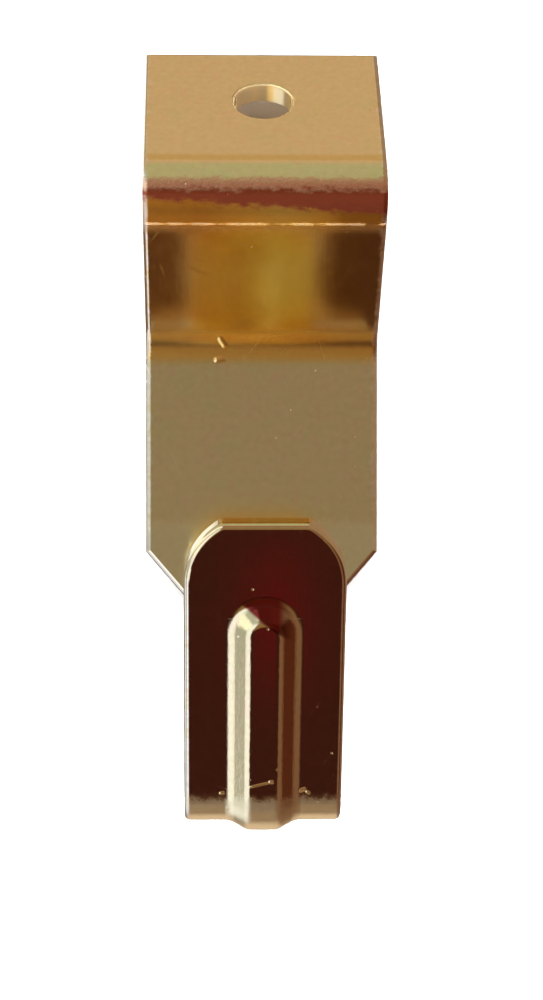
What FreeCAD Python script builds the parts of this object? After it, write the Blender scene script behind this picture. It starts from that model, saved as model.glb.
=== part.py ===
"""Picture hook bent from one strip of brass-plated steel.

The strip starts at the wall with a nail flap, turns round a nose, runs back to a
flat wall plate, narrows at two shoulders and ends in a ribbed, upturned hook.
The wall is the plane y = 0, the front is towards -Y and z = 0 is the shoulder line.
"""
import FreeCAD, Part
import math
import os
import Sketcher

NODE = "picture_hook"

# Driving sizes in millimetres and degrees.
SIZES = {
    "sheet": 1.35,            # thickness of the strip
    "strip_width": 15.65,     # flap, nose, leg and wall plate
    "hook_width": 10.45,      # neck, seat and tongue
    "plate_height": 12.85,    # shoulder line to the waist bend
    "waist_radius": 2.65,     # inside of the bend from plate to leg
    "leg_length": 10.1,       # straight part of the leg
    "leg_slope": 39.0,        # rise of the leg towards the nose
    "nose_radius": 1.25,      # inside of the nose bend
    "flap_slope": 43.0,       # rise of the flap towards the wall
    "wall_gap": 0.3,          # flap's end to the wall
    "nail_bore": 3.9,         # punched nail hole
    "bore_inset": 5.6,        # flap's end to the middle of the nail hole
    "bore_roll": 0.15,        # edge rolled over by the punch round the nail hole
    "shoulder_drop": 3.0,     # height of the sloping shoulders
    "neck_length": 15.85,     # shoulder line to the seat bend
    "seat_radius": 0.8,       # inside of the bottom bend
    "tongue_length": 16.3,    # straight part of the tongue below its rounded tip
    "tongue_lean": 23.8,      # tongue's angle from upright
    "corner_radius": 5.0,     # rounded corners of the tip
    "tip_width": 5.65,        # flat top between the corners
    "crown_round": 0.8,       # where the flat top runs into the corners
    "rib_inset": 3.45,        # foot of the tip to the middle of the rib's round end
    "rib_base": 4.4,          # width of the rib where it leaves the sheet
    "rib_crest": 2.06,        # width of the rib's flat crest
    "rib_height": 0.68,       # crest above the sheet
    "crest_round": 1.0,       # rounded edges of the crest
    "foot_round": 1.25,       # hollow round along the rib's foot
    "edge_round": 0.35,       # softened edges of the strip
}

# Share of the sheet's thickness by which the rib's section is rooted in the strip.
ROOT_SHARE = 0.25
ROOT = "%g * Sizes.sheet" % ROOT_SHARE
rib_root = ROOT_SHARE * SIZES["sheet"]

# A curve's points, and the curves that a sketch counts backwards: its axes and an outside edge.
START, END, CENTRE = range(1, 4)
FRONT_AXIS, SIDE_AXIS, OUTSIDE_EDGE = range(-1, -4, -1)
ORIGIN = (FRONT_AXIS, START)

# Lengths in millimetres that differ by less than this are the same.
SLACK = 0.03

doc = FreeCAD.newDocument("PictureHook")

table = doc.addObject("Spreadsheet::Sheet", "Sizes")
for row, (alias, value) in enumerate(SIZES.items(), start=1):
    table.set("A%d" % row, alias)
    table.set("B%d" % row, str(value))
    table.setAlias("B%d" % row, alias)
doc.recompute()

body = doc.addObject("PartDesign::Body", "Hook")
body.Label = NODE


def vec(x, y):
    return FreeCAD.Vector(x, y, 0)


def heading(degrees):
    """Unit step in a sketch, counted left from its x axis."""
    return vec(math.cos(math.radians(degrees)), math.sin(math.radians(degrees)))


def origin_plane(role):
    for feature in body.Origin.OriginFeatures:
        if feature.Role == role:
            return feature
    raise RuntimeError("no origin plane " + role)


def new_sketch(name, support, mode="FlatFace"):
    sketch = body.newObject("Sketcher::SketchObject", name)
    sketch.AttachmentSupport = support
    sketch.MapMode = mode
    return sketch


def bind(sketch, name, formula, kind, *where):
    """Add a dimension with its present value and tie it to the sheet."""
    index = sketch.addConstraint(Sketcher.Constraint(kind, *where))
    sketch.renameConstraint(index, name)
    sketch.setExpression("Constraints." + name, formula)


def relate(sketch, kind, *where):
    sketch.addConstraint(Sketcher.Constraint(kind, *where))


def smooth_path(sketch, direction, moves):
    """Draw straight runs and bends from the sketch's origin, each tangent to the last.

    A move is (length, None) for a run and (radius, turn) for a bend, whose turn is in
    degrees to the left. Returns the curves' numbers.
    """
    place = vec(0, 0)
    curves = []
    for size, turn in moves:
        if turn is None:
            goal = place + heading(direction) * size
            curve = sketch.addGeometry(Part.LineSegment(place, goal))
            curves.append((curve, START, END))
        else:
            side = math.copysign(90, turn)
            centre = place + heading(direction + side) * size
            first = direction - side
            goal = centre + heading(first + turn) * size
            low, high = sorted((math.radians(first), math.radians(first + turn)))
            circle = Part.Circle(centre, FreeCAD.Vector(0, 0, 1), size)
            curve = sketch.addGeometry(Part.ArcOfCircle(circle, low, high))
            curves.append((curve, START, END) if turn > 0 else (curve, END, START))
            direction += turn
        place = goal
    relate(sketch, "Coincident", curves[0][0], START, *ORIGIN)
    relate(sketch, "Vertical", curves[0][0])
    for before, after in zip(curves, curves[1:]):
        relate(sketch, "Tangent", before[0], before[2], after[0], after[1])
    return [curve for curve, first, last in curves]


def closed_outline(sketch, points):
    """Draw straight sides through the points and join them into a loop."""
    sides = []
    for start, goal in zip(points, points[1:] + points[:1]):
        sides.append(sketch.addGeometry(Part.LineSegment(vec(*start), vec(*goal))))
    for side, after in zip(sides, sides[1:] + sides[:1]):
        relate(sketch, "Coincident", side, END, after, START)
    return sides


def flat_face(feature, normal, point):
    """Name of the flat face with this outward normal that lies nearest to a point."""
    found = []
    for index, face in enumerate(feature.Shape.Faces, start=1):
        if isinstance(face.Surface, Part.Plane) and (face.normalAt(0, 0) - normal).Length < SLACK:
            found.append((face.distToShape(Part.Vertex(point))[0], "Face%d" % index))
    return min(found)[1]


def far_edge(feature, face_name, direction):
    """Name of the face's straight edge that lies furthest along a direction."""
    found = []
    for edge in feature.Shape.getElement(face_name).Edges:
        for index, candidate in enumerate(feature.Shape.Edges, start=1):
            if candidate.isSame(edge):
                found.append((edge.CenterOfMass.dot(direction), "Edge%d" % index))
    return max(found)[1]


def strip_section(name, width):
    """Rectangle across the strip at the shoulder line, with its back on the wall."""
    half = SIZES[width] / 2
    thick = SIZES["sheet"]
    sketch = new_sketch(name, origin_plane("XY_Plane"))
    back, left, front, right = closed_outline(
        sketch, [(half, 0), (-half, 0), (-half, -thick), (half, -thick)])
    relate(sketch, "PointOnObject", back, START, FRONT_AXIS)
    relate(sketch, "Symmetric", back, START, back, END, SIDE_AXIS)
    relate(sketch, "Horizontal", front)
    relate(sketch, "Vertical", left)
    relate(sketch, "Vertical", right)
    bind(sketch, "across", "Sizes." + width, "Distance", back, 2 * half)
    bind(sketch, "thick", "Sizes.sheet", "Distance", left, thick)
    return sketch


def swept(kind, name, section, path):
    """Carry a section along a path, as strip that is added or as a channel that is cut."""
    pipe = body.newObject("PartDesign::" + kind, name)
    pipe.Profile = section
    pipe.Spine = path
    doc.recompute()
    return pipe


def edges_where(feature, test):
    """Names of the feature's edges that pass a test."""
    return ["Edge%d" % index for index, edge in enumerate(feature.Shape.Edges, start=1) if test(edge)]


def rounding(name, base, edges, alias):
    """Round some edges of the body by a size of the sheet."""
    fillet = body.newObject("PartDesign::Fillet", name)
    fillet.Base = (base, edges)
    fillet.setExpression("Radius", "Sizes." + alias)
    doc.recompute()
    return fillet


# Plate, leg, nose and flap: the path follows the face that looks at the wall.
leg_turn = 90 - SIZES["leg_slope"]
nose_turn = SIZES["leg_slope"] + SIZES["flap_slope"] - 180
top_path = new_sketch("TopPath", origin_plane("YZ_Plane"))
plate, waist, leg, nose, flap = smooth_path(top_path, 90, [
    (SIZES["plate_height"], None),
    (SIZES["waist_radius"] + SIZES["sheet"], leg_turn),
    (SIZES["leg_length"], None),
    (SIZES["nose_radius"], nose_turn),
    (SIZES["leg_length"], None)])
bind(top_path, "plate", "Sizes.plate_height", "Distance", plate, SIZES["plate_height"])
bind(top_path, "waist", "Sizes.waist_radius + Sizes.sheet", "Radius", waist,
     SIZES["waist_radius"] + SIZES["sheet"])
bind(top_path, "leg", "Sizes.leg_length", "Distance", leg, SIZES["leg_length"])
bind(top_path, "leg_rise", "180 - Sizes.leg_slope", "Angle", leg,
     math.radians(180 - SIZES["leg_slope"]))
bind(top_path, "nose", "Sizes.nose_radius", "Radius", nose, SIZES["nose_radius"])
bind(top_path, "flap_rise", "Sizes.flap_slope", "Angle", flap, math.radians(SIZES["flap_slope"]))
bind(top_path, "gap", "Sizes.wall_gap", "DistanceX", flap, END, *ORIGIN, SIZES["wall_gap"])
swept("AdditivePipe", "TopStrip", strip_section("PlateSection", "strip_width"), top_path)

# Shoulders that lead from the plate's width to the hook's width.
shoulders = new_sketch("ShoulderOutline", origin_plane("XZ_Plane"))
half_plate = SIZES["strip_width"] / 2
half_hook = SIZES["hook_width"] / 2
upper, right_slope, lower, left_slope = closed_outline(shoulders, [
    (-half_plate, 0), (half_plate, 0),
    (half_hook, -SIZES["shoulder_drop"]), (-half_hook, -SIZES["shoulder_drop"])])
relate(shoulders, "PointOnObject", upper, START, FRONT_AXIS)
relate(shoulders, "Symmetric", upper, START, upper, END, SIDE_AXIS)
relate(shoulders, "Symmetric", lower, START, lower, END, SIDE_AXIS)
bind(shoulders, "plate", "Sizes.strip_width", "Distance", upper, 2 * half_plate)
bind(shoulders, "hook", "Sizes.hook_width", "Distance", lower, 2 * half_hook)
bind(shoulders, "drop", "Sizes.shoulder_drop", "DistanceY", lower, START, *ORIGIN,
     SIZES["shoulder_drop"])
shoulder_pad = body.newObject("PartDesign::Pad", "Shoulders")
shoulder_pad.Profile = shoulders
shoulder_pad.setExpression("Length", "Sizes.sheet")

# Neck, seat and tongue: the wall side of the neck becomes the tongue's front.
seat_outside = SIZES["seat_radius"] + SIZES["sheet"]
hook_path = new_sketch("HookPath", origin_plane("YZ_Plane"))
neck, seat, tongue = smooth_path(hook_path, -90, [
    (SIZES["neck_length"], None),
    (seat_outside, SIZES["tongue_lean"] - 180),
    (SIZES["tongue_length"], None)])
bind(hook_path, "neck", "Sizes.neck_length", "Distance", neck, SIZES["neck_length"])
bind(hook_path, "seat", "Sizes.seat_radius + Sizes.sheet", "Radius", seat, seat_outside)
bind(hook_path, "tongue", "Sizes.tongue_length", "Distance", tongue, SIZES["tongue_length"])
bind(hook_path, "lean", "90 + Sizes.tongue_lean", "Angle", tongue,
     math.radians(90 + SIZES["tongue_lean"]))
hook = swept("AdditivePipe", "HookStrip", strip_section("NeckSection", "hook_width"), hook_path)

# Rounded tip of the tongue, drawn on the tongue's front face.
lean = math.radians(SIZES["tongue_lean"])
tongue_up = FreeCAD.Vector(0, -math.sin(lean), math.cos(lean))
tongue_front = FreeCAD.Vector(0, -math.cos(lean), -math.sin(lean))
tongue_face = flat_face(hook, tongue_front, tongue_up * SIZES["tongue_length"])
tip_outline = new_sketch("TipOutline", (hook, tongue_face))
tip_outline.addExternal(hook.Name, far_edge(hook, tongue_face, tongue_up))
doc.recompute()
foot_edge = hook.Shape.getElement(far_edge(hook, tongue_face, tongue_up))
to_sketch = tip_outline.Placement.inverse()
foot_line = to_sketch.multVec(foot_edge.CenterOfMass).y
corner = SIZES["corner_radius"]
half_tip = SIZES["tip_width"] / 2
tip_line = foot_line + math.sqrt(corner ** 2 - (half_tip - half_hook + corner) ** 2)
crown_turn = math.acos((half_tip - half_hook + corner) / corner)
foot = tip_outline.addGeometry(Part.LineSegment(vec(-half_hook, foot_line), vec(half_hook, foot_line)))
crown = tip_outline.addGeometry(Part.LineSegment(vec(half_tip, tip_line), vec(-half_tip, tip_line)))
corners = []
for middle, first, last in ((half_hook - corner, 0, crown_turn),
                            (corner - half_hook, math.pi - crown_turn, math.pi)):
    circle = Part.Circle(vec(middle, foot_line), FreeCAD.Vector(0, 0, 1), corner)
    corners.append(tip_outline.addGeometry(Part.ArcOfCircle(circle, first, last)))
right_corner, left_corner = corners
relate(tip_outline, "PointOnObject", foot, START, OUTSIDE_EDGE)
relate(tip_outline, "Symmetric", foot, START, foot, END, SIDE_AXIS)
relate(tip_outline, "Coincident", foot, END, right_corner, START)
relate(tip_outline, "Coincident", right_corner, END, crown, START)
relate(tip_outline, "Coincident", crown, END, left_corner, START)
relate(tip_outline, "Coincident", left_corner, END, foot, START)
relate(tip_outline, "PointOnObject", right_corner, CENTRE, foot)
relate(tip_outline, "PointOnObject", left_corner, CENTRE, foot)
relate(tip_outline, "Equal", left_corner, right_corner)
relate(tip_outline, "Horizontal", crown)
bind(tip_outline, "across", "Sizes.hook_width", "Distance", foot, 2 * half_hook)
bind(tip_outline, "corner", "Sizes.corner_radius", "Radius", right_corner, corner)
bind(tip_outline, "tip", "Sizes.tip_width", "Distance", crown, 2 * half_tip)
tip = body.newObject("PartDesign::Pad", "Tip")
tip.Profile = tip_outline
tip.Reversed = True
tip.setExpression("Length", "Sizes.sheet")
doc.recompute()


def at_crown_corner(edge):
    """An edge through the sheet at either end of the tip's flat top."""
    beside = abs(abs(edge.CenterOfMass.x) - half_tip) < SLACK and edge.BoundBox.XLength < SLACK
    return beside and abs(edge.Length - SIZES["sheet"]) < SLACK


tip = rounding("CrownRound", tip, edges_where(tip, at_crown_corner), "crown_round")

# Nail hole, punched square to the flap.
rise = math.radians(SIZES["flap_slope"])
flap_front = FreeCAD.Vector(0, -math.sin(rise), math.cos(rise))
flap_up = FreeCAD.Vector(0, math.cos(rise), math.sin(rise))
flap_face = flat_face(tip, flap_front, tip.Shape.BoundBox.getPoint(4))
bore_outline = new_sketch("BoreOutline", (tip, flap_face))
bore_outline.addExternal(tip.Name, far_edge(tip, flap_face, flap_up))
doc.recompute()
flap_end = tip.Shape.getElement(far_edge(tip, flap_face, flap_up)).CenterOfMass
bore_middle = bore_outline.Placement.inverse().multVec(flap_end - flap_up * SIZES["bore_inset"])
bore = bore_outline.addGeometry(
    Part.Circle(bore_middle, FreeCAD.Vector(0, 0, 1), SIZES["nail_bore"] / 2))
relate(bore_outline, "PointOnObject", bore, CENTRE, SIDE_AXIS)
bind(bore_outline, "inset", "Sizes.bore_inset", "Distance", bore, CENTRE, OUTSIDE_EDGE,
     SIZES["bore_inset"])
bind(bore_outline, "bore", "Sizes.nail_bore", "Diameter", bore, SIZES["nail_bore"])
nail_hole = body.newObject("PartDesign::Pocket", "NailHole")
nail_hole.Profile = bore_outline
nail_hole.setExpression("Length", "2 * Sizes.sheet")
doc.recompute()
rim_place = bore_outline.Placement.multVec(bore_middle)


def on_punched_rim(edge):
    """The nail hole's edge on the flap's front."""
    return isinstance(edge.Curve, Part.Circle) and (edge.Curve.Center - rim_place).Length < SLACK


rounding("BoreRoll", nail_hole, edges_where(nail_hole, on_punched_rim), "bore_roll")


def rib_path(name, to_wall):
    """Line down the tongue's front and round the seat, to the wall or to the lowest point."""
    sketch = new_sketch(name, origin_plane("YZ_Plane"))
    sketch.addExternal(hook_path.Name, "Edge%d" % (seat + 1))
    arc = hook_path.Geometry[seat]
    length = SIZES["tongue_length"] - SIZES["rib_inset"]
    upper = arc.StartPoint + heading(90 + SIZES["tongue_lean"]) * length
    run = sketch.addGeometry(Part.LineSegment(upper, arc.StartPoint))
    circle = Part.Circle(arc.Center, FreeCAD.Vector(0, 0, 1), arc.Radius)
    last = 0 if to_wall else -math.pi / 2
    bend = sketch.addGeometry(
        Part.ArcOfCircle(circle, math.radians(SIZES["tongue_lean"] - 180), last))
    relate(sketch, "Tangent", run, END, bend, START)
    relate(sketch, "Coincident", bend, START, OUTSIDE_EDGE, START)
    relate(sketch, "Coincident", bend, CENTRE, OUTSIDE_EDGE, CENTRE)
    if to_wall:
        relate(sketch, "Coincident", bend, END, OUTSIDE_EDGE, END)
    else:
        relate(sketch, "Vertical", bend, END, bend, CENTRE)
    bind(sketch, "run", "Sizes.tongue_length - Sizes.rib_inset", "Distance", run, length)
    doc.recompute()
    return sketch


FLANK = "atan(2 * Sizes.rib_height / (Sizes.rib_base - Sizes.rib_crest))"
flank = math.atan2(2 * SIZES["rib_height"], SIZES["rib_base"] - SIZES["rib_crest"])


def rib_section(name, path, pressed, half):
    """Section of the rib across the tongue, or of the groove pressed in behind it.

    The groove lies one sheet further in and is narrower by what the bent flanks take up.
    """
    level = SIZES["sheet"] if pressed else 0
    narrow = SIZES["sheet"] * math.tan(flank / 2) if pressed else 0
    base = SIZES["rib_base"] / 2 - narrow
    crest = SIZES["rib_crest"] / 2 - narrow
    left_base = 0 if half else -base
    left_crest = 0 if half else -crest
    root_line = level + rib_root
    crest_line = level - SIZES["rib_height"]
    points = [(left_base, root_line), (base, root_line), (base, level),
              (crest, crest_line), (left_crest, crest_line)]
    if not half:
        points.append((left_base, level))
    sketch = new_sketch(name, (path, "Edge1"), "NormalToEdge")
    sides = closed_outline(sketch, points)
    root_side, wall, slope, top_side = sides[:4]
    relate(sketch, "Vertical", wall)
    share = "0.5 * " if half else ""
    less = " - 2 * Sizes.sheet * tan(%s / 2)" % FLANK if pressed else ""
    depth = "Sizes.sheet" if pressed else "0"
    scale = 1 if half else 2
    if half:
        relate(sketch, "Horizontal", root_side)
        relate(sketch, "Horizontal", top_side)
        relate(sketch, "PointOnObject", root_side, START, SIDE_AXIS)
        relate(sketch, "PointOnObject", top_side, END, SIDE_AXIS)
    else:
        relate(sketch, "Symmetric", root_side, START, root_side, END, SIDE_AXIS)
        relate(sketch, "Symmetric", top_side, START, top_side, END, SIDE_AXIS)
        relate(sketch, "Symmetric", wall, END, sides[5], START, SIDE_AXIS)
    bind(sketch, "base", share + "(Sizes.rib_base%s)" % less, "Distance", root_side, scale * base)
    bind(sketch, "crest", share + "(Sizes.rib_crest%s)" % less, "Distance", top_side, scale * crest)
    bind(sketch, "root", ROOT, "Distance", wall, rib_root)
    bind(sketch, "height", "Sizes.rib_height + " + ROOT, "DistanceY", top_side, START,
         root_side, END, SIZES["rib_height"] + rib_root)
    bind(sketch, "level", depth + " + " + ROOT, "DistanceY", *ORIGIN, root_side, END, root_line)
    doc.recompute()
    return sketch


def round_end(kind, name, section):
    """Turn half of the section about its own middle for the rib's round upper end."""
    turned = body.newObject("PartDesign::" + kind, name)
    turned.Profile = section
    turned.ReferenceAxis = (section, ["V_Axis"])
    turned.Angle = 360
    doc.recompute()
    return turned


def along_rib(width):
    """Test for the edges that follow the rib at this width, sides and round end.

    The rib lies on the hook, below the shoulder line.
    """
    half = width / 2

    def follows(edge):
        middle = edge.CenterOfMass
        if middle.z > 0:
            return False
        beside = edge.BoundBox.XLength < SLACK and abs(abs(middle.x) - half) < SLACK
        if isinstance(edge.Curve, Part.Circle):
            return beside or abs(edge.Curve.Radius - half) < SLACK and abs(middle.x) < SLACK
        return beside and edge.Length > SIZES["tongue_length"] / 2
    return follows


# Stiffening rib on the tongue's front, which runs round under the seat to the wall.
ridge_path = rib_path("RidgePath", True)
swept("AdditivePipe", "Ridge", rib_section("RidgeSection", ridge_path, False, False), ridge_path)
ridge = round_end("Revolution", "RidgeEnd", rib_section("RidgeHalf", ridge_path, False, True))
ridge = rounding("CrestRound", ridge, edges_where(ridge, along_rib(SIZES["rib_crest"])), "crest_round")
ridge = rounding("FootRound", ridge, edges_where(ridge, along_rib(SIZES["rib_base"])), "foot_round")

# Groove that the pressing leaves behind the rib, down to the lowest point of the seat.
groove_path = rib_path("GroovePath", False)
swept("SubtractivePipe", "RibGroove", rib_section("GrooveSection", groove_path, True, False), groove_path)
round_end("Groove", "RibGrooveEnd", rib_section("GrooveHalf", groove_path, True, True))

# The rib dies away where it would pass the wall.
trim_outline = new_sketch("TrimOutline", origin_plane("XZ_Plane"))
trim_top = -SIZES["neck_length"]
trim_foot = trim_top - seat_outside - SIZES["rib_height"]
low_side, right_side, high_side, left_side = closed_outline(trim_outline, [
    (-half_hook, trim_foot), (half_hook, trim_foot), (half_hook, trim_top), (-half_hook, trim_top)])
relate(trim_outline, "Symmetric", low_side, START, low_side, END, SIDE_AXIS)
relate(trim_outline, "Symmetric", high_side, START, high_side, END, SIDE_AXIS)
relate(trim_outline, "Vertical", right_side)
bind(trim_outline, "across", "Sizes.hook_width", "Distance", low_side, 2 * half_hook)
bind(trim_outline, "top", "Sizes.neck_length", "DistanceY", high_side, START, *ORIGIN, -trim_top)
bind(trim_outline, "drop", "Sizes.seat_radius + Sizes.sheet + Sizes.rib_height", "Distance", right_side,
     trim_top - trim_foot)
trim = body.newObject("PartDesign::Pocket", "WallTrim")
trim.Profile = trim_outline
trim.setExpression("Length", "2 * Sizes.rib_height")
doc.recompute()


def is_sheared(face):
    """A face cut through the sheet has a straight side as long as the sheet is thick."""
    bore_radius = SIZES["nail_bore"] / 2
    if isinstance(face.Surface, Part.Cylinder) and abs(face.Surface.Radius - bore_radius) < SLACK:
        return False
    return any(isinstance(edge.Curve, Part.Line) and abs(edge.Length - SIZES["sheet"]) < SLACK
               for edge in face.Edges)


# Softened edges all round the strip: where a sheared face meets the skin of the sheet.
sheared = [face for face in trim.Shape.Faces if is_sheared(face)]


def on_rim(edge):
    return sum(edge.isSame(side) for face in sheared for side in face.Edges) == 1


finished = rounding("EdgeRound", trim, edges_where(trim, on_rim), "edge_round")

for item in doc.Objects:
    if "Invalid" in item.State or "Error" in item.State:
        raise RuntimeError("%s did not build" % item.Name)
if finished.Shape.isNull() or not finished.Shape.isValid() or len(finished.Shape.Solids) != 1:
    raise RuntimeError("the hook is not one sound solid")

os.makedirs("parts", exist_ok=True)
body.Shape.exportStep("parts/%s.step" % NODE)
print("%s: %.1f cubic mm" % (NODE, body.Shape.Volume))
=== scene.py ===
# %% [markdown]
# A picture hook, bent from one strip of brass-plated steel. The strip starts at the wall
# with a sloped flap that has a hole in it, turns round a nose, runs back down to a flat wall
# plate and ends in a ribbed tongue that turns up to carry the picture.
# The solid model is loaded first, because every place below is counted in its frame: the
# wall is the plane y = 0, the front looks towards -Y and z = 0 is the line where the strip
# starts to narrow. Blender works in metres, so MM turns a millimetre into Blender's unit.

# %% Load the frame
import math

import bpy
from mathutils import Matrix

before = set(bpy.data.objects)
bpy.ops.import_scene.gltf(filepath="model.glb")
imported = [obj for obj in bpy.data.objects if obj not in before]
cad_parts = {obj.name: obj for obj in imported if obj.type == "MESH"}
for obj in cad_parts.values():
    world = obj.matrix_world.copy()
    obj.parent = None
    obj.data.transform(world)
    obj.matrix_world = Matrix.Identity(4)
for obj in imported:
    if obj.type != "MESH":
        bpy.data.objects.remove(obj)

MM = 0.001
scene = bpy.context.scene
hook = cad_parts["picture_hook"]
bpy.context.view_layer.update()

# %% [markdown]
# The camera is near: the nose of the hook looks wider than the plate behind it, and only a
# lens about 165 mm away shows that. It stands a little left of the middle, at the height of
# the wall plate, and looks almost level. The picture is upright, so Blender counts the
# sensor's width along the picture's height.

# %% Camera
EYE = (-4.1, -165.48, 5.97)
LOOK_DOWN = 0.86
LOOK_RIGHT = 1.66
lens = bpy.data.cameras.new("camera")
lens.sensor_width = 36.0
lens.lens = 87.4
lens.clip_start = 0.01
lens.clip_end = 20.0
camera = bpy.data.objects.new("camera", lens)
camera.location = [value * MM for value in EYE]
camera.rotation_euler = (math.radians(90 - LOOK_DOWN), 0.0, math.radians(-LOOK_RIGHT))
scene.collection.objects.link(camera)
scene.camera = camera
print("camera at", EYE, "mm, lens", lens.lens)

# %% [markdown]
# Room and finish are both made of shader nodes, so a few helpers come first. `place` adds a
# node and fills its sockets with numbers or links. The others are short forms of steps that
# come up again and again: arithmetic, the three axes of a vector, soft steps up and down,
# the overlap of several masks, a mix of two colours and a colour ramp.

# %% Node helpers
def place(tree, kind, sockets=None, **settings):
    """Add a node, set its settings and fill its sockets with values or links."""
    node = tree.nodes.new(kind)
    for name, value in settings.items():
        setattr(node, name, value)
    for key, value in (sockets or {}).items():
        if isinstance(value, bpy.types.NodeSocket):
            tree.links.new(value, node.inputs[key])
        else:
            node.inputs[key].default_value = value
    return node


def sums(tree, operation, *values):
    """One step of arithmetic on numbers or sockets."""
    return place(tree, "ShaderNodeMath", dict(enumerate(values)), operation=operation).outputs[0]


def axes(tree, vector):
    """The x, y and z of a vector."""
    return place(tree, "ShaderNodeSeparateXYZ", {0: vector}).outputs


def soft_step(tree, value, low, high, before, after):
    """A smooth step from one level, held below low, to another, held above high."""
    sockets = {"Value": value, "From Min": low, "From Max": high, "To Min": before, "To Max": after}
    return place(tree, "ShaderNodeMapRange", sockets, interpolation_type="SMOOTHSTEP").outputs["Result"]


def rise(tree, value, low, high, top=1.0):
    """A smooth step up: nothing below low, the full top above high."""
    return soft_step(tree, value, low, high, 0.0, top)


def fall(tree, value, low, high):
    """A smooth step down: one below low, nothing above high."""
    return soft_step(tree, value, low, high, 1.0, 0.0)


def overlap(tree, *masks):
    """Where all of the masks hold: their product."""
    shared = masks[0]
    for mask in masks[1:]:
        shared = sums(tree, "MULTIPLY", shared, mask)
    return shared


def between(tree, value, start, full, fade, end):
    """A soft band: it comes up from start to full and goes down from fade to end."""
    return overlap(tree, rise(tree, value, start, full), fall(tree, value, fade, end))


def blend(tree, share, first, second, way="MIX"):
    """Mix two colours by a share from 0 to 1."""
    node = place(tree, "ShaderNodeMix", data_type="RGBA", blend_type=way)
    colours = [socket for socket in node.inputs if socket.type == "RGBA"]
    for socket, value in zip([node.inputs[0], *colours], (share, first, second)):
        if isinstance(value, bpy.types.NodeSocket):
            tree.links.new(value, socket)
        elif isinstance(value, float):
            socket.default_value = value
        else:
            socket.default_value = (*value, 1.0)
    return [socket for socket in node.outputs if socket.type == "RGBA"][0]


def band(tree, value, stops):
    """A colour ramp through (position, colour) pairs."""
    node = place(tree, "ShaderNodeValToRGB", {0: value})
    ramp = node.color_ramp
    ramp.elements.remove(ramp.elements[-1])
    ramp.elements[0].position = stops[0][0]
    ramp.elements[0].color = (*stops[0][1], 1.0)
    for position, colour in stops[1:]:
        ramp.elements.new(position).color = (*colour, 1.0)
    return node.outputs["Color"]


print("node helpers ready")

# %% [markdown]
# Bright plating is a mirror, so most of its colour is the colour of the room. A set of lamps
# could light it, but a mirror would show each lamp as a hard patch. A soft room painted on
# the world's sphere is plainer. One colour ramp runs round it, and its angle is counted from
# the front: 90 degrees is the ceiling, minus 90 the floor and 180 the wall behind. The
# tongue leans forward, so it mirrors what is in front of and below the hook, which is dark
# and warm. The flap mirrors the ceiling.

# %% Room: colours round the hook
world = bpy.data.worlds.new("studio")
scene.world = world
world.use_nodes = True
room = world.node_tree
room.nodes.clear()
ray = place(room, "ShaderNodeTexCoord").outputs["Generated"]
ray_x, ray_y, ray_z = axes(room, ray)
turn = sums(room, "ARCTAN2", ray_z, sums(room, "MULTIPLY", ray_y, -1.0))
round_room = sums(room, "MULTIPLY_ADD", turn, 0.5 / math.pi, 0.5)

BEHIND = (0.08, 0.03, 0.006)
ROOM = [
    (-180, BEHIND),
    (-165, BEHIND),
    (-150, (0.76, 0.60, 0.50)),
    (-107, (0.76, 0.60, 0.50)),
    (-101, (0.085, 0.032, 0.011)),
    (-93, (0.085, 0.032, 0.011)),
    (-88, (0.305, 0.195, 0.107)),
    (-63, (0.29, 0.182, 0.098)),
    (-57.5, (0.041, 0.0105, 0.0085)),
    (-45, (0.041, 0.0105, 0.0085)),
    (-40, (0.26, 0.150, 0.070)),
    (-12, (0.265, 0.180, 0.107)),
    (-6, (0.273, 0.226, 0.163)),
    (6, (0.273, 0.226, 0.163)),
    (11, (0.31, 0.135, 0.09)),
    (28, (0.31, 0.135, 0.09)),
    (44, (0.455, 0.440, 0.299)),
    (88, (0.455, 0.440, 0.299)),
    (99, (0.584, 0.427, 0.286)),
    (118, (0.584, 0.427, 0.286)),
    (140, BEHIND),
    (180, BEHIND),
]
around = band(room, round_room, [(angle / 360 + 0.5, colour) for angle, colour in ROOM])
print("room ramp has", len(ROOM), "stops")

# %% [markdown]
# A tall window stands on the left. It is brightest low down, where it draws the white lines
# along the tongue and the rib. A white card across it, just above the hook's height, lights
# the tongue's rounded tip, and a lamp in front on the left the rib's round upper end. Far to
# the left, low down, it ends at a grey wall. The right side is dim. Straight in front, low
# down, one small red patch gives the tongue its red gleam. The borders are given in parts of
# the ray's direction, from -1 to 1, each as a soft step between two values.

# %% Room: its two sides
LOW_WINDOW = (1.05, 1.13, 1.40)
HIGH_WINDOW = (0.50, 0.53, 0.56)
BACK_LEFT = (0.34, 0.25, 0.12)
LOW_BACK_LEFT = (0.13, 0.08, 0.05)
CARD = (1.10, 1.14, 1.20)
LEFT_WALL = (0.45, 0.47, 0.50)
LEFT_LAMP = (1.20, 1.22, 1.25)
RIGHT_GLOW = (0.33, 0.22, 0.15)
LOW_RIGHT_GLOW = (0.20, 0.105, 0.068)
RIGHT_WALL = (0.085, 0.022, 0.011)
leftward = sums(room, "MULTIPLY", ray_x, -1.0)
above = rise(room, ray_z, -0.35, -0.10)
low_front = overlap(room, fall(room, ray_y, -0.05, 0.15), fall(room, ray_z, -0.30, 0.0))
window = blend(room, above, LOW_WINDOW, HIGH_WINDOW)
back_left = blend(room, above, LOW_BACK_LEFT, BACK_LEFT)
window = blend(room, rise(room, ray_y, 0.25, 0.45), window, back_left)
window = blend(room, between(room, ray_z, 0.04, 0.14, 0.42, 0.55), window, CARD)
on_left = overlap(room, rise(room, leftward, 0.20, 0.34), fall(room, ray_z, 0.55, 0.75))
sides = blend(room, on_left, around, window)
sides = blend(room, overlap(room, rise(room, leftward, 0.62, 0.76), low_front), sides, LEFT_WALL)
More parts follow.
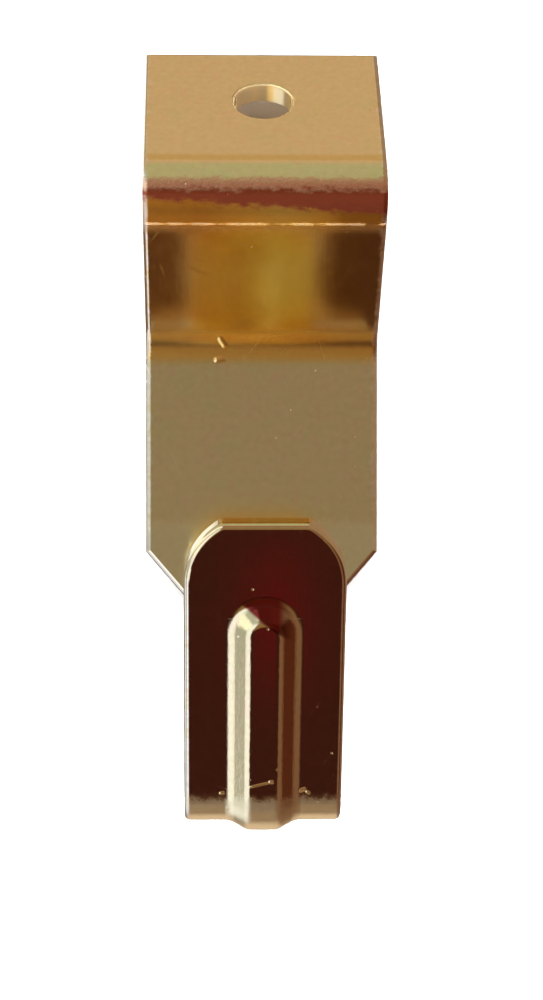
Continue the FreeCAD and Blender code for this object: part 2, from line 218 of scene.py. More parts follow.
lamp = overlap(room, fall(room, ray_y, -0.45, -0.30), rise(room, leftward, 0.45, 0.60),
               between(room, ray_z, -0.45, -0.30, -0.12, -0.05))
sides = blend(room, lamp, sides, LEFT_LAMP)
right_glow = blend(room, above, LOW_RIGHT_GLOW, RIGHT_GLOW)
sides = blend(room, rise(room, ray_x, 0.22, 0.36), sides, right_glow)
sides = blend(room, overlap(room, rise(room, ray_x, 0.60, 0.76), low_front), sides, RIGHT_WALL)
print("room with sides:", len(room.nodes), "nodes")

# %% Room: the red patch
RED_PATCH = (0.13, 0.003, 0.009)
RED_TURN = math.radians(-51.2)
RED_HALF_HEIGHT = math.radians(2.8)
RED_SIDE = 0.031
RED_HALF_WIDTH = 0.017
off_red = sums(room, "ABSOLUTE", sums(room, "SUBTRACT", turn, RED_TURN))
beside_red = sums(room, "ABSOLUTE", sums(room, "SUBTRACT", ray_x, RED_SIDE))
red = overlap(room, fall(room, off_red, 0.0, RED_HALF_HEIGHT), fall(room, beside_red, 0.0, RED_HALF_WIDTH))
sides = blend(room, red, sides, RED_PATCH)
print("room with its red patch:", len(room.nodes), "nodes")

# %% [markdown]
# Only mirrored rays see the painted room. Everything else, such as the pale floor and wall,
# gets plain white light from a broad strip overhead and one below, so the hook stands before
# a clean white ground and no light falls level through the hole in the flap. Light that is
# caught between the tongue and the neck bounces many times, which makes it more golden each
# time, so the number of mirror bounces is raised. The room isn't sampled as a lamp, because
# a lamp's light can't tell a mirrored ray from a plain one.

# %% Room: plain light for the rest
PLAIN_LIGHT = 12.0
MIRROR_BOUNCES = 12
WHITE = (1.0, 1.0, 1.0, 1.0)
path = place(room, "ShaderNodeLightPath").outputs
from_above = rise(room, ray_z, 0.30, 0.55)
from_below = fall(room, ray_z, -0.60, -0.40)
in_strip = fall(room, sums(room, "ABSOLUTE", ray_x), 0.30, 0.45)
lit = overlap(room, sums(room, "MAXIMUM", from_above, from_below), in_strip, PLAIN_LIGHT)
lit = sums(room, "MAXIMUM", lit, path["Is Camera Ray"])
plain = place(room, "ShaderNodeBackground", {"Color": WHITE, "Strength": lit}).outputs[0]
mirrored = place(room, "ShaderNodeBackground", {"Color": sides}).outputs[0]
chosen = place(room, "ShaderNodeMixShader", {0: path["Is Glossy Ray"], 1: plain, 2: mirrored}).outputs[0]
place(room, "ShaderNodeOutputWorld", {"Surface": chosen})
scene.view_settings.view_transform = "Standard"
scene.cycles.glossy_bounces = MIRROR_BOUNCES
world.cycles.sampling_method = "NONE"
print("room finished with", len(room.nodes), "nodes")

# %% [markdown]
# A pale floor lies under the hook and a pale wall stands just behind it, as where the hook
# is used. The wall also keeps the space behind the flap dim, so the hole looks dark. Both
# are only there for the eye: the hook neither mirrors them nor gets light from them. Seen
# from behind, the wall lets the view through.

# %% Floor and wall
REACH = 1.5
FLOOR_LEVEL = -30.0 * MM
WALL_PLANE = 0.2 * MM
PALE = (0.9, 0.9, 0.9, 1.0)
MATT = 0.9


def sheet_of_stage(name, corners, see_through_back):
    """A flat four-cornered backdrop with a matt pale finish."""
    mesh = bpy.data.meshes.new(name)
    mesh.from_pydata(corners, [], [(0, 1, 2, 3)])
    thing = bpy.data.objects.new(name, mesh)
    scene.collection.objects.link(thing)
    thing.visible_glossy = False
    thing.visible_diffuse = False
    matt = bpy.data.materials.new(name + "_matt")
    matt.use_nodes = True
    tree = matt.node_tree
    shader = tree.nodes["Principled BSDF"]
    shader.inputs["Base Color"].default_value = PALE
    shader.inputs["Roughness"].default_value = MATT
    if see_through_back:
        facing = place(tree, "ShaderNodeNewGeometry").outputs["Backfacing"]
        tree.links.new(sums(tree, "SUBTRACT", 1.0, facing), shader.inputs["Alpha"])
    mesh.materials.append(matt)
    return thing


floor = sheet_of_stage("floor", [(-REACH, -REACH, FLOOR_LEVEL), (REACH, -REACH, FLOOR_LEVEL),
                                 (REACH, REACH, FLOOR_LEVEL), (-REACH, REACH, FLOOR_LEVEL)], False)
wall = sheet_of_stage("wall", [(-REACH, WALL_PLANE, -REACH), (REACH, WALL_PLANE, -REACH),
                               (REACH, WALL_PLANE, REACH), (-REACH, WALL_PLANE, REACH)], True)
print("stage:", floor.name, "and", wall.name)

# %% [markdown]
# The finish is a thin bright brass plating on steel. A plain gold shader would look like a
# toy, so the finish is put together from the marks that rolling, pressing and handling
# leave, with some painted reflection and painted highlight on the leg, the nose and the
# rib. All patterns are counted in millimetres of the hook's own frame. Each mark is a node
# group that gives a mask or a height, and the material mixes them at the end.

# %% Node group helpers
def start_group(name, inputs, outputs):
    """A new node group with named sockets: its tree, what it is given and what it gives."""
    group = bpy.data.node_groups.new(name, "ShaderNodeTree")
    for side, sockets in (("INPUT", inputs), ("OUTPUT", outputs)):
        for label, kind in sockets.items():
            group.interface.new_socket(label, in_out=side, socket_type="NodeSocket" + kind)
    return group, group.nodes.new("NodeGroupInput").outputs, group.nodes.new("NodeGroupOutput").inputs


def use_group(tree, group, **sockets):
    """Place a node group and give its outputs. An underscore stands for a socket's space."""
    named = {key.replace("_", " "): value for key, value in sockets.items()}
    return place(tree, "ShaderNodeGroup", named, node_tree=group).outputs


def noise(tree, position, scale, detail=2.0, roughness=0.5):
    """Soft noise from 0 to 1 with about this many features to a millimetre."""
    sockets = {"Vector": position, "Scale": scale, "Detail": detail, "Roughness": roughness}
    return place(tree, "ShaderNodeTexNoise", sockets).outputs[0]


def vectors(tree, operation, first, second):
    """One step of arithmetic on two vectors."""
    return place(tree, "ShaderNodeVectorMath", {0: first, 1: second}, operation=operation).outputs[0]


def turned(tree, position, angle):
    """Turn a position about the axis that runs into the wall."""
    sockets = {"Vector": position, "Angle": angle, "Axis": (0.0, 1.0, 0.0)}
    return place(tree, "ShaderNodeVectorRotate", sockets, rotation_type="AXIS_ANGLE").outputs[0]


def hypotenuse(tree, a, b):
    """The root of the sum of two squares: a distance from two sides at a right angle."""
    squares = sums(tree, "ADD", sums(tree, "MULTIPLY", a, a), sums(tree, "MULTIPLY", b, b))
    return sums(tree, "SQRT", squares)


def towards(tree, y, z, foot, degrees):
    """How far a place lies from a foot in one direction: 0 is to the front, 90 is up."""
    angle = math.radians(degrees)
    forward = sums(tree, "MULTIPLY", sums(tree, "SUBTRACT", foot[0], y), math.cos(angle))
    upward = sums(tree, "MULTIPLY", sums(tree, "SUBTRACT", z, foot[1]), math.sin(angle))
    return sums(tree, "ADD", forward, upward)


print("group helpers ready")

# %% [markdown]
# The strip was rolled before it was cut, which leaves faint lines along its length. They are
# noise that is squeezed across the strip and pulled out along it. The flanks of the rib
# get a second, coarser set, because the press drags the metal there.

# %% Group: drawn lines
drawn_lines, given, result = start_group(
    "drawn_lines", {"Position": "Vector", "Across": "Float", "Along": "Float"}, {"Lines": "Float"})
squeeze = place(drawn_lines, "ShaderNodeCombineXYZ",
                {0: given["Across"], 1: given["Along"], 2: given["Along"]}).outputs[0]
pulled = vectors(drawn_lines, "MULTIPLY", given["Position"], squeeze)
drawn_lines.links.new(noise(drawn_lines, pulled, 1.0, 3.0, 0.6), result["Lines"])
print("drawn lines:", len(drawn_lines.nodes), "nodes")

# %% [markdown]
# Hooks are tumbled together in a box, so the plating has hair scratches in all directions.
# One set is long thin noise of which only the highest parts are kept. The group turns the
# pattern, and the material uses it three times with different turns.

# %% Group: hair scratches
HAIR_SHAPE = (5.0, 0.5, 0.16)
hair_scratches, given, result = start_group(
    "hair_scratches", {"Position": "Vector", "Turn": "Float"}, {"Scratch": "Float"})
slanted = turned(hair_scratches, given["Position"], given["Turn"])
thin = noise(hair_scratches, vectors(hair_scratches, "MULTIPLY", slanted, HAIR_SHAPE), 1.0, 1.0)
lone = rise(hair_scratches, noise(hair_scratches, slanted, 0.22, 1.0), 0.48, 0.60)
line = overlap(hair_scratches, rise(hair_scratches, thin, 0.70, 0.76), lone)
hair_scratches.links.new(line, result["Scratch"])
print("hair scratches:", len(hair_scratches.nodes), "nodes")

# %% [markdown]
# Dust under the plating makes small pits. Voronoi cells give one point each, and only some
# cells keep theirs, so the pits stay few and scattered.

# %% Group: pits
pits, given, result = start_group(
    "pits", {"Position": "Vector", "Number": "Float", "Share": "Float"}, {"Pit": "Float"})
cells = place(pits, "ShaderNodeTexVoronoi", {"Vector": given["Position"], "Scale": given["Number"]}).outputs
lot = axes(pits, cells["Color"])[0]
kept = sums(pits, "LESS_THAN", lot, given["Share"])
pits.links.new(overlap(pits, fall(pits, cells["Distance"], 0.03, 0.12), kept), result["Pit"])
print("pits:", len(pits.nodes), "nodes")

# %% [markdown]
# The press leaves single knocks with a known place. Each is a short ridge with soft ends:
# the position is counted from its middle and turned into its direction, and the height
# falls off along it and across it.

# %% Group: knock
knock, given, result = start_group(
    "knock", {"Position": "Vector", "Middle": "Vector", "Turn": "Float", "Half length": "Float",
              "Half width": "Float"}, {"Ridge": "Float"})
offset = vectors(knock, "SUBTRACT", given["Position"], given["Middle"])
along, deep, across = axes(knock, turned(knock, offset, given["Turn"]))
along = sums(knock, "DIVIDE", sums(knock, "ABSOLUTE", along), given["Half length"])
across = sums(knock, "DIVIDE", sums(knock, "ABSOLUTE", across), given["Half width"])
on_skin = fall(knock, sums(knock, "ABSOLUTE", deep), 0.6, 1.0)
ridge = overlap(knock, fall(knock, along, 0.4, 1.0), fall(knock, across, 0.0, 1.0), on_skin)
knock.links.new(ridge, result["Ridge"])
print("knock:", len(knock.nodes), "nodes")

# %% [markdown]
# Bending stretches the outer skin and leaves it duller than the flat runs. A bend is found
# by its middle line: the mask holds where the distance from that line is the bend's radius,
# between two heights. The angle round the line is given too, 0 straight to the front and
# positive above that.

# %% Group: round bend
round_bend, given, result = start_group(
    "round_bend", {"Position": "Vector", "Middle Y": "Float", "Middle Z": "Float", "Radius": "Float",
                   "Slack": "Float", "Low": "Float", "High": "Float"}, {"Bend": "Float", "Angle": "Float"})
spot_y, spot_z = axes(round_bend, given["Position"])[1:]
forward = sums(round_bend, "SUBTRACT", given["Middle Y"], spot_y)
upward = sums(round_bend, "SUBTRACT", spot_z, given["Middle Z"])
off_skin = sums(round_bend, "SUBTRACT", hypotenuse(round_bend, forward, upward), given["Radius"])
off_skin = sums(round_bend, "ABSOLUTE", off_skin)
close = fall(round_bend, sums(round_bend, "DIVIDE", off_skin, given["Slack"]), 0.5, 1.0)
over_low = rise(round_bend, sums(round_bend, "SUBTRACT", spot_z, given["Low"]), -0.5, 0.4)
under_high = fall(round_bend, sums(round_bend, "SUBTRACT", spot_z, given["High"]), -0.4, 0.5)
round_bend.links.new(overlap(round_bend, close, over_low, under_high), result["Bend"])
round_bend.links.new(sums(round_bend, "ARCTAN2", upward, forward), result["Angle"])
print("round bend:", len(round_bend.nodes), "nodes")

# %% [markdown]
# The nose is the hook's foremost edge and the plating there was rubbed in the press. A
# ragged coppery band runs along it, deeper on the right and frosted at its upper rim. Its
# dark red is partly that rubbed copper and partly a painted reflection of the dark red room
# in front. Below it the nose is a deeper gold, a painted reflection of the tongue carried
# over from the leg, down to a broken bright lip where the bend ends. The lip is a painted
# highlight: a dull line that the plain light lights up bright. The borders are angles round
# the nose, shaken by noise where they are ragged.

# %% Group: rubbed nose and its painted reflections
HALF_STRIP = 7.825
RUB_TOP = math.radians(19)
RUB_TOP_SOFT = math.radians(3)
RUB_FOOT_LEFT = math.radians(-10)
RUB_FOOT_RIGHT = math.radians(-33)
RAGGED = math.radians(26)
FROST = [math.radians(angle) for angle in (-3, 8, 24, 38)]
LIP = math.radians(-51)
LIP_HALF_WIDTH = math.radians(3.4)


def across_strip(tree, x):
    """How far across the strip: 0 at its left edge and 1 at its right."""
    return sums(tree, "MULTIPLY_ADD", x, 0.5 / HALF_STRIP, 0.5)


nose_rub_and_sheen, given, result = start_group(
    "nose_rub_and_sheen", {"Position": "Vector", "Bend": "Float", "Angle": "Float"},
    {"Rub and reflection": "Float", "Frost": "Float", "Gold reflection": "Float", "Lip": "Float"})
spot = given["Position"]
flecks = noise(nose_rub_and_sheen, vectors(nose_rub_and_sheen, "MULTIPLY", spot, (1.0, 2.0, 2.0)), 1.3, 4.0, 0.65)
rough_angle = sums(nose_rub_and_sheen, "MULTIPLY_ADD", sums(nose_rub_and_sheen, "SUBTRACT", flecks, 0.5), RAGGED, given["Angle"])
sideways = across_strip(nose_rub_and_sheen, axes(nose_rub_and_sheen, spot)[0])
foot = sums(nose_rub_and_sheen, "MULTIPLY_ADD", sideways, RUB_FOOT_RIGHT - RUB_FOOT_LEFT, RUB_FOOT_LEFT)
above_foot = sums(nose_rub_and_sheen, "SUBTRACT", rough_angle, foot)
over_foot = rise(nose_rub_and_sheen, above_foot, math.radians(-7), math.radians(5))
under_top = fall(nose_rub_and_sheen, rough_angle, RUB_TOP - RUB_TOP_SOFT, RUB_TOP + RUB_TOP_SOFT)
# Rub: partly rubbed plating, partly a painted reflection of the dark red room in front.
nose_rub_and_sheen.links.new(overlap(nose_rub_and_sheen, over_foot, under_top, given["Bend"]), result["Rub and reflection"])
frosted = between(nose_rub_and_sheen, rough_angle, *FROST)
nose_rub_and_sheen.links.new(overlap(nose_rub_and_sheen, frosted, given["Bend"]), result["Frost"])
# Gold: the band under the red one, which carries a painted reflection of the tongue.
below_rub = fall(nose_rub_and_sheen, given["Angle"], math.radians(-12), math.radians(4))
nose_rub_and_sheen.links.new(overlap(nose_rub_and_sheen, below_rub, given["Bend"]), result["Gold reflection"])
# Lip: the line of the painted highlight.
off_lip = sums(nose_rub_and_sheen, "ABSOLUTE", sums(nose_rub_and_sheen, "SUBTRACT", given["Angle"], LIP))
lip = fall(nose_rub_and_sheen, off_lip, 0.0, LIP_HALF_WIDTH)
gaps = noise(nose_rub_and_sheen, vectors(nose_rub_and_sheen, "MULTIPLY", spot, (1.0, 0.1, 0.1)), 0.8, 2.0)
broken = rise(nose_rub_and_sheen, gaps, 0.38, 0.52)
nose_rub_and_sheen.links.new(overlap(nose_rub_and_sheen, lip, broken, given["Bend"]), result["Lip"])
print("rubbed nose:", len(nose_rub_and_sheen.nodes), "nodes")

# %% [markdown]
# Plating wears first where the strip is cut. The distance to the strip's edge is its half
# width less the distance from the middle line. The half width is 7.8 mm above the
# shoulders and 5.2 mm on the neck and the tongue; the tongue is the part that stands in
# front of the neck.

# %% Group: worn edges
HALF_HOOK = 5.225
SHOULDER_DROP = 3.0
NECK_FRONT = -2.4
OVER_TONGUE = 6.0
edge_rub, given, result = start_group("edge_rub", {"Position": "Vector"}, {"Edge": "Float"})
spot = given["Position"]
spot_x, spot_y, spot_z = axes(edge_rub, spot)
up_shoulder = place(edge_rub, "ShaderNodeMapRange",
                    {"Value": spot_z, "From Min": -SHOULDER_DROP, "From Max": 0.0}).outputs[0]
before_neck = overlap(edge_rub, sums(edge_rub, "LESS_THAN", spot_y, NECK_FRONT),
                      sums(edge_rub, "LESS_THAN", spot_z, OVER_TONGUE))
wide = overlap(edge_rub, up_shoulder, sums(edge_rub, "SUBTRACT", 1.0, before_neck))
half = sums(edge_rub, "MULTIPLY_ADD", wide, HALF_STRIP - HALF_HOOK, HALF_HOOK)
inset = sums(edge_rub, "SUBTRACT", half, sums(edge_rub, "ABSOLUTE", spot_x))
patchy = sums(edge_rub, "MULTIPLY_ADD", noise(edge_rub, spot, 1.1, 4.0, 0.6), 0.9, -0.3)
edge_rub.links.new(fall(edge_rub, sums(edge_rub, "SUBTRACT", inset, patchy), -0.05, 0.32), result["Edge"])
print("worn edges:", len(edge_rub.nodes), "nodes")

# %% [markdown]
# Two more marks belong to the tongue. The rib's round upper end has a painted dark red
# reflection on its top and right, like the red gleam that the red patch in front gives the
# tongue. Inside the throat, behind the tongue, nothing ever rubs, so the plating is
# brightest there. Both are found by the height up the tongue and the distance in front of
# its face.

# %% Group: tongue marks and painted red reflection
TONGUE_FOOT = (-4.117, -16.718)
TONGUE_FACING = -23.8
RIB_END = 13.1
RED_REFLECTION_SIDE = (0.6, 0.8)
tongue_marks_and_sheen, given, result = start_group(
    "tongue_marks_and_sheen", {"Position": "Vector"}, {"Red reflection": "Float", "Inside": "Float"})
spot_x, spot_y, spot_z = axes(tongue_marks_and_sheen, given["Position"])
up_tongue = towards(tongue_marks_and_sheen, spot_y, spot_z, TONGUE_FOOT, TONGUE_FACING + 90)
in_front = towards(tongue_marks_and_sheen, spot_y, spot_z, TONGUE_FOOT, TONGUE_FACING)
past_end = sums(tongue_marks_and_sheen, "SUBTRACT", up_tongue, RIB_END)
reach = hypotenuse(tongue_marks_and_sheen, spot_x, past_end)
# A painted dark red reflection on the top and right of the rib's upper end.
top_right = sums(tongue_marks_and_sheen, "ADD", sums(tongue_marks_and_sheen, "MULTIPLY", spot_x, RED_REFLECTION_SIDE[0]),
                 sums(tongue_marks_and_sheen, "MULTIPLY", past_end, RED_REFLECTION_SIDE[1]))
red_reflection = overlap(tongue_marks_and_sheen, rise(tongue_marks_and_sheen, top_right, 0.40, 0.65), fall(tongue_marks_and_sheen, reach, 2.2, 2.5),
                fall(tongue_marks_and_sheen, spot_x, 0.8, 2.0), rise(tongue_marks_and_sheen, in_front, -0.4, -0.2))
inside = overlap(tongue_marks_and_sheen, fall(tongue_marks_and_sheen, in_front, -1.1, -0.7),
                 fall(tongue_marks_and_sheen, spot_z, 1.5, 2.5))
tongue_marks_and_sheen.links.new(red_reflection, result["Red reflection"])
tongue_marks_and_sheen.links.new(inside, result["Inside"])
print("tongue marks:", len(tongue_marks_and_sheen.nodes), "nodes")

# %% [markdown]
# Little of the fold behind the flap can be seen, only a golden brown gleam through the hole.
# Its inside is a guess: it gets about the same deep gold as the leg, which warms the light
# in there. The fold is what lies behind the faces of both the flap and the leg, by almost
# the thickness of the sheet, 1.35 mm.

# %% Group: inner fold
FLAP_FOOT = (-10.318, 25.188)
FLAP_FACING = 47.0
LEG_FOOT = (-10.181, 21.266)
LEG_FACING = -51.0
INNER_FACE = (-1.32, -1.2)
OVER_WAIST = (13.5, 15.0)
inner_fold, given, result = start_group("inner_fold", {"Position": "Vector"}, {"Fold": "Float"})
spot_y, spot_z = axes(inner_fold, given["Position"])[1:]
off_flap = towards(inner_fold, spot_y, spot_z, FLAP_FOOT, FLAP_FACING)
off_leg = towards(inner_fold, spot_y, spot_z, LEG_FOOT, LEG_FACING)
folded = overlap(inner_fold, fall(inner_fold, off_flap, *INNER_FACE), fall(inner_fold, off_leg, *INNER_FACE),
                 rise(inner_fold, spot_z, *OVER_WAIST))
inner_fold.links.new(folded, result["Fold"])
print("inner fold:", len(inner_fold.nodes), "nodes")

# %% [markdown]
# The hole is punched, and a punch shears the metal, so the wall of the hole is paler and
# duller than the sheet. The mask holds near the hole's axis, which stands square on the flap.

# %% Group: punched hole
HOLE_MIDDLE = (-4.805, 29.304)
HOLE_RADIUS = 1.95
punched_hole, given, result = start_group("punched_hole", {"Position": "Vector"}, {"Sheared": "Float"})
spot_x, spot_y, spot_z = axes(punched_hole, given["Position"])
up_hole = towards(punched_hole, spot_y, spot_z, HOLE_MIDDLE, FLAP_FACING + 90)
from_axis = hypotenuse(punched_hole, spot_x, up_hole)
sheared = fall(punched_hole, from_axis, HOLE_RADIUS + 0.02, HOLE_RADIUS + 0.10)
punched_hole.links.new(sheared, result["Sheared"])
print("punched hole:", len(punched_hole.nodes), "nodes")

# %% [markdown]
# Now the finish is mixed. First the masks: the place in millimetres, the three bends, the
# marks of the nose, the tongue, the fold, the hole and the edges, and two flat runs. The
# seat's border wavers, so its place is shaken up and down by noise.

# %% Plating: masks
NOSE_BEND = dict(Middle_Y=-8.545, Middle_Z=23.286, Radius=2.6, Slack=0.8, Low=21.05, High=25.2)
WAIST_BEND = dict(Middle_Y=-4.0, Middle_Z=12.85, Radius=2.65, Slack=0.5, Low=12.9, High=14.9)
SEAT_BEND = dict(Middle_Y=-2.15, Middle_Z=-15.85, Radius=2.4, Slack=2.4, Low=-20.0, High=-16.3)
plating = bpy.data.materials.new("brass_plating")
plating.use_nodes = True
finish = plating.node_tree
shader = finish.nodes["Principled BSDF"]
metres = place(finish, "ShaderNodeTexCoord").outputs["Object"]
spot = place(finish, "ShaderNodeVectorMath", {0: metres, "Scale": 1.0 / MM}, operation="SCALE").outputs[0]
spot_x, spot_y, spot_z = axes(finish, spot)
shake = sums(finish, "SUBTRACT", noise(finish, spot, 2.0, 3.0, 0.6), 0.5)
shaken = vectors(finish, "ADD", spot, place(finish, "ShaderNodeCombineXYZ", {2: shake}).outputs[0])
nose = use_group(finish, round_bend, Position=spot, **NOSE_BEND)
waist = use_group(finish, round_bend, Position=spot, **WAIST_BEND)["Bend"]
seat = use_group(finish, round_bend, Position=shaken, **SEAT_BEND)["Bend"]
nose_marks_and_sheen = use_group(finish, nose_rub_and_sheen, Position=spot, Bend=nose["Bend"], Angle=nose["Angle"])
tongue = use_group(finish, tongue_marks_and_sheen, Position=spot)
fold = use_group(finish, inner_fold, Position=spot)["Fold"]
hole = use_group(finish, punched_hole, Position=spot)["Sheared"]
edge = use_group(finish, edge_rub, Position=spot)["Edge"]
on_leg = between(finish, spot_z, 15.2, 15.9, 20.8, 21.4)
on_plate = overlap(finish, between(finish, spot_z, 0.5, 2.0, 12.4, 12.9), rise(finish, spot_y, -1.8, -1.5))
up_flap = towards(finish, spot_y, spot_z, FLAP_FOOT, FLAP_FACING + 90)
press_line = between(finish, up_flap, 0.10, 0.40, 0.60, 1.10)
clouds = noise(finish, spot, 0.28, 3.0, 0.55)
mottle = noise(finish, vectors(finish, "MULTIPLY", spot, (1.0, 0.7, 0.7)), 1.4, 4.0, 0.6)
specks = noise(finish, spot, 2.2, 3.0, 0.6)
print("plating masks:", len(finish.nodes), "nodes")

# %% [markdown]
# Brass is the base colour, with slow greener and pinker clouds as bright plating has. The
# leg, the waist, the fold and a line just above the nose are a deeper gold. On the leg this
# gold is a painted reflection that changes across the strip: bright in the middle, where the
# leg mirrors the tongue, and painted shade towards the sides, darkest on the right. The
# throat, the seat, worn edges and the hole are paler. The nose carries the leg's painted
# reflection and has a coppery band, partly a painted reflection of the dark red room in
# front. The layers lie over each other in the order of the list.

# %% Plating: colours
BRASS = (0.93, 0.79, 0.47)
GREEN_BRASS = (0.87, 0.80, 0.46)
PINK_BRASS = (0.96, 0.73, 0.49)
CLEAN_BRASS = (1.00, 0.89, 0.58)
SEAT_BRASS = (0.98, 0.86, 0.53)
PALE_BRASS = (0.95, 0.89, 0.76)
SHEARED_BRASS = (0.95, 0.76, 0.40)
DEEP_GOLD = (1.0, 0.67, 0.19)
PRESS_GOLD = (0.85, 0.67, 0.29)
FOLD_GOLD = (0.86, 0.60, 0.24)
# Painted reflection and painted shade across the leg, from its left edge to its right: bright where it
# mirrors the tongue, dark at the right.
LEG_REFLECTION_GOLD = [
    (-7.8, (0.88, 0.60, 0.24)),
    (-4.0, (0.85, 0.56, 0.22)),
    (-1.0, (1.00, 0.79, 0.35)),
    (1.0, (1.00, 0.88, 0.46)),
    (2.6, (1.00, 0.86, 0.42)),
    (4.0, (0.92, 0.70, 0.30)),
    (5.0, (0.64, 0.43, 0.18)),
    (7.8, (0.58, 0.38, 0.16)),
]
# The nose's tint carries the leg's painted reflection, the copper is partly a painted reflection and the
# lip's colour sets a painted highlight.
NOSE_REFLECTION_TINT = (0.95, 0.64, 0.22)
COPPER_AND_RED_REFLECTION = (0.48, 0.120, 0.054)
FROSTED_COPPER = (0.90, 0.61, 0.41)
LIP_HIGHLIGHT = (0.23, 0.15, 0.09)
# The colour of the painted red reflection on the rib's upper end.
RED_REFLECTION = (0.25, 0.035, 0.030)
EDGE_SHARE = 0.7
reflection_stops = [(0.5 + 0.5 * x / HALF_STRIP, gold) for x, gold in LEG_REFLECTION_GOLD]
leg_reflection_gold = band(finish, across_strip(finish, spot_x), reflection_stops)
LAYERS = [
    (rise(finish, mottle, 0.50, 0.75, 0.7), PINK_BRASS),
    (tongue["Inside"], CLEAN_BRASS),
    (seat, SEAT_BRASS),
    (on_leg, leg_reflection_gold),
    (waist, DEEP_GOLD),
    # The nose's gold, its copper and its lip are painted reflection and painted highlight.
    (nose_marks_and_sheen["Gold reflection"], blend(finish, 1.0, leg_reflection_gold, NOSE_REFLECTION_TINT, "MULTIPLY")),
    (press_line, PRESS_GOLD),
    (sums(finish, "MULTIPLY", edge, EDGE_SHARE), PALE_BRASS),
    (nose_marks_and_sheen["Rub and reflection"], blend(finish, nose_marks_and_sheen["Frost"], COPPER_AND_RED_REFLECTION, FROSTED_COPPER)),
    (nose_marks_and_sheen["Lip"], LIP_HIGHLIGHT),
    (tongue["Red reflection"], RED_REFLECTION),
    (fold, FOLD_GOLD),
    (hole, SHEARED_BRASS),
]
colour = blend(finish, rise(finish, clouds, 0.50, 0.72, 0.8), BRASS, GREEN_BRASS)
for mask, layer in LAYERS:
    colour = blend(finish, mask, colour, layer)
print("plating colours:", len(LAYERS), "layers")

# %% [markdown]
# Fine specks darken and lighten the colour by a few parts in a hundred. The lip under the
# nose and the sheared wall of the hole are less metallic than the rest; on the lip this makes
# a painted highlight, a dull line that the plain light lights up bright.

# %% Plating: specks and dull places
DULLNESS = 0.9
HOLE_SHARE = 0.36
shade = place(finish, "ShaderNodeMapRange", {"Value": specks, "From Min": 0.25, "From Max": 0.75,
                                             "To Min": 0.95, "To Max": 1.05}).outputs[0]
finish.links.new(blend(finish, 1.0, colour, shade, "MULTIPLY"), shader.inputs["Base Color"])
dull = sums(finish, "MAXIMUM", nose_marks_and_sheen["Lip"], sums(finish, "MULTIPLY", hole, HOLE_SHARE))
finish.links.new(sums(finish, "MULTIPLY_ADD", dull, -DULLNESS, 1.0), shader.inputs["Metallic"])
print("plating with specks:", len(finish.nodes), "nodes")

# %% [markdown]
# Roughness is low but uneven. It is a little higher along scratches and worn edges, on the
# leg, the wall plate and the hole's wall, and much higher on the bends and the rubbed nose.
# The list gives what each mask adds.

# %% Plating: roughness
LEAST_ROUGH = 0.05
MOTTLE_ROUGH = 0.06
SCRATCH_TURNS = (0.35, -0.7, 1.25)
scratch = 0.0
for angle in SCRATCH_TURNS:
    marks = use_group(finish, hair_scratches, Position=spot, Turn=angle)["Scratch"]
    scratch = sums(finish, "MAXIMUM", scratch, marks)
bends = sums(finish, "MAXIMUM", sums(finish, "MAXIMUM", nose_marks_and_sheen["Gold reflection"], waist), seat)
ROUGHER = [
    (scratch, 0.07),
    (edge, 0.05),
    (bends, 0.18),
    (nose_marks_and_sheen["Gold reflection"], 0.14),
    (seat, 0.10),
    (on_leg, 0.06),
    (on_plate, 0.11),
    (nose_marks_and_sheen["Rub and reflection"], 0.16),
    (hole, 0.12),
]
rough = sums(finish, "MULTIPLY_ADD", mottle, MOTTLE_ROUGH, LEAST_ROUGH)
for mask, more in ROUGHER:
    rough = sums(finish, "MULTIPLY_ADD", mask, more, rough)
finish.links.new(rough, shader.inputs["Roughness"])
print("plating with roughness:", len(finish.nodes), "nodes")

# %% [markdown]
# Every height is counted in micrometres, so the one Bump node has a distance of one
# micrometre and the heights can simply be added. The knocks are listed with the place of
# their middle, their turn, half length and half width, and their height: two at the waist, a
# crease across the rib near the seat and a few beside it.

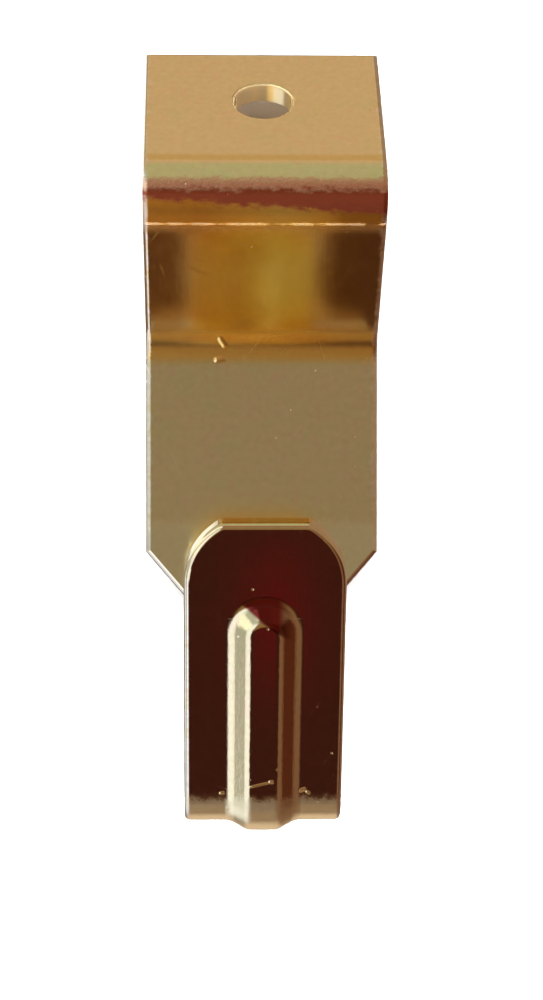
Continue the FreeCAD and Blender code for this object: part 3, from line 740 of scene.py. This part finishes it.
# %% Plating: knocks
KNOCKS = [
    ((-2.65, -1.69, 14.14), -55, 0.50, 0.25, 60),
    ((-2.83, -1.35, 13.00), 10, 0.46, 0.28, 70),
    ((-0.25, -5.51, -15.25), 14, 0.78, 0.11, 30),
    ((0.52, -5.60, -15.05), 0, 0.20, 0.16, 35),
    ((2.63, -4.57, -15.70), 20, 0.30, 0.18, 40),
    ((3.00, -4.50, -15.88), -30, 0.20, 0.14, 30),
    ((-2.72, -4.48, -15.90), 10, 0.22, 0.14, 30),
]
height = 0.0
for middle, degrees, half_length, half_width, top in KNOCKS:
    ridge = use_group(finish, knock, Position=spot, Middle=middle, Turn=math.radians(degrees),
                      Half_length=half_length, Half_width=half_width)["Ridge"]
    height = sums(finish, "MULTIPLY_ADD", ridge, float(top), height)
print("knocks:", len(KNOCKS))

# %% [markdown]
# The rest of the relief is fine: rolling lines everywhere, the press's drag on the rib's
# flanks, scratches and pits, which go down, the frosted rim and the lip of the nose.

# %% Plating: relief
MICROMETRE = 1e-6
grain = use_group(finish, drawn_lines, Position=spot, Across=4.5, Along=0.3)["Lines"]
drag = use_group(finish, drawn_lines, Position=spot, Across=6.0, Along=2.0)["Lines"]
pit = use_group(finish, pits, Position=spot, Number=1.15, Share=0.2)["Pit"]
off_middle = sums(finish, "ABSOLUTE", spot_x)
flank = overlap(finish, between(finish, off_middle, 0.7, 1.0, 2.2, 2.5),
                sums(finish, "LESS_THAN", spot_y, -3.4), sums(finish, "LESS_THAN", spot_z, -4.0))
HEIGHTS = [
    (grain, 1.2),
    (overlap(finish, drag, flank), 9.0),
    (scratch, -0.7),
    (pit, -14.0),
    (overlap(finish, noise(finish, spot, 4.0, 4.0, 0.7), nose_marks_and_sheen["Frost"]), 26.0),
    (nose_marks_and_sheen["Lip"], 8.0),
]
for mask, top in HEIGHTS:
    height = sums(finish, "MULTIPLY_ADD", mask, top, height)
relief = place(finish, "ShaderNodeBump", {"Strength": 1.0, "Distance": MICROMETRE, "Height": height})
finish.links.new(relief.outputs[0], shader.inputs["Normal"])
hook.data.materials.clear()
hook.data.materials.append(plating)
print("plating has", len(finish.nodes), "nodes")
